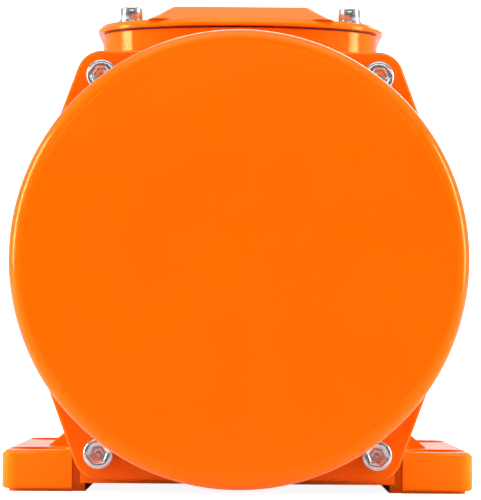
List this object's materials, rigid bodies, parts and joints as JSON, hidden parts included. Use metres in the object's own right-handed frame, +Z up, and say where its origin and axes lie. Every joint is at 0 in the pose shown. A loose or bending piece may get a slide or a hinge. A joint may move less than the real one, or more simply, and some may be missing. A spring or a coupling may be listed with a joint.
{
  "type": "vibration motor",
  "caption": "Foot-mounted electric vibration motor: finned cast body on two foot rails, round weight covers at both ends, bow-ended terminal box on top.",
  "frame": {"origin": "middle of the motor on the plane of the foot soles", "axes": "+Z up out of the feet, +Y along the shaft towards the end with the cable gland, +X to the right as seen from the front end"},
  "size_m": [0.206, 0.396, 0.215],
  "materials": {
    "bearing_steel": "ground",
    "black_rubber": "matte",
    "black_screw": "black oxide",
    "block_plastic": "moulded",
    "bright_screw": "bright zinc",
    "cage_brass": "machined",
    "cast_aluminium": "as cast",
    "dial_aluminium": "satin",
    "gland_plastic": "moulded polyamide",
    "lamination_steel": "rolled sheet",
    "orange_paint": "glossy powder coat",
    "raw_iron": "as cast",
    "shaft_steel": "ground",
    "spring_steel": "phosphated",
    "terminal_brass": "plated",
    "weight_iron": "machined",
    "winding_copper": "enamelled copper under varnish"
  },
  "bodies": {
    "motor_frame": {"cable_gland_body": "gland_plastic", "cable_gland_nut": "gland_plastic", "cable_gland_seal": "black_rubber", "earth_screw": "terminal_brass", "foot_rails": "orange_paint", "front_bearing_cover": "raw_iron", "front_bearing_cover_screws": "black_screw", "front_bearing_outer_ring": "bearing_steel", "front_bearing_shield": "orange_paint", "front_cover_ring": "black_rubber", "front_cover_screws": "bright_screw", "front_shaft_seal": "black_rubber", "front_shield_screws": "black_screw", "front_weight_cover": "orange_paint", "lid_gasket": "black_rubber", "lid_screws": "bright_screw", "lid_washers": "bright_screw", "motor_housing": "orange_paint", "rear_bearing_cover": "raw_iron", "rear_bearing_cover_screws": "black_screw", "rear_bearing_outer_ring": "bearing_steel", "rear_bearing_shield": "orange_paint", "rear_cover_ring": "black_rubber", "rear_cover_screws": "bright_screw", "rear_shaft_seal": "black_rubber", "rear_shield_screws": "black_screw", "rear_weight_cover": "orange_paint", "star_link": "terminal_brass", "stator_core": "lamination_steel", "stator_winding": "winding_copper", "terminal_block": "block_plastic", "terminal_box_lid": "orange_paint", "terminal_nuts": "terminal_brass", "terminal_studs": "terminal_brass"},
    "rotor": {"motor_shaft": "shaft_steel", "rotor_core": "lamination_steel", "rotor_end_rings": "cast_aluminium", "front_bearing_inner_ring": "bearing_steel", "front_fixed_weight": "weight_iron", "front_weight_key": "shaft_steel", "front_spacer_sleeve": "shaft_steel", "front_setting_dial": "dial_aluminium", "front_retaining_ring": "spring_steel", "rear_bearing_inner_ring": "bearing_steel", "rear_fixed_weight": "weight_iron", "rear_weight_key": "shaft_steel", "rear_spacer_sleeve": "shaft_steel", "rear_setting_dial": "dial_aluminium", "rear_retaining_ring": "spring_steel"},
    "front_adjustable_weight_set": {"front_adjustable_weight": "weight_iron", "front_clamp_bolt": "black_screw", "front_clamp_nut": "black_screw"},
    "front_bearing_cage_set": {"front_bearing_rollers": "bearing_steel", "front_bearing_cage": "cage_brass"},
    "rear_adjustable_weight_set": {"rear_adjustable_weight": "weight_iron", "rear_clamp_bolt": "black_screw", "rear_clamp_nut": "black_screw"},
    "rear_bearing_cage_set": {"rear_bearing_rollers": "bearing_steel", "rear_bearing_cage": "cage_brass"}
  },
  "joints": [
    {"name": "rotor_spin", "type": "hinge", "parent": "motor_frame", "child": "rotor", "pos_m": [0, 0, 0.0985], "axis": [0, 1, 0], "continuous": true},
    {"name": "front_weight_setting", "type": "hinge", "parent": "rotor", "child": "front_adjustable_weight_set", "pos_m": [0, -0.16, 0.0985], "axis": [0, 1, 0], "range_deg": [0, 180]},
    {"name": "front_bearing_roll", "type": "hinge", "parent": "motor_frame", "child": "front_bearing_cage_set", "pos_m": [0, -0.0944, 0.0985], "axis": [0, 1, 0], "continuous": true},
    {"name": "rear_weight_setting", "type": "hinge", "parent": "rotor", "child": "rear_adjustable_weight_set", "pos_m": [0, 0.16, 0.0985], "axis": [0, 1, 0], "range_deg": [0, 180]},
    {"name": "rear_bearing_roll", "type": "hinge", "parent": "motor_frame", "child": "rear_bearing_cage_set", "pos_m": [0, 0.0944, 0.0985], "axis": [0, 1, 0], "continuous": true}
  ],
  "couplings": [
    {"joint": "front_bearing_roll", "follows": "rotor_spin", "ratio": 0.4153},
    {"joint": "rear_bearing_roll", "follows": "rotor_spin", "ratio": 0.4153}
  ]
}
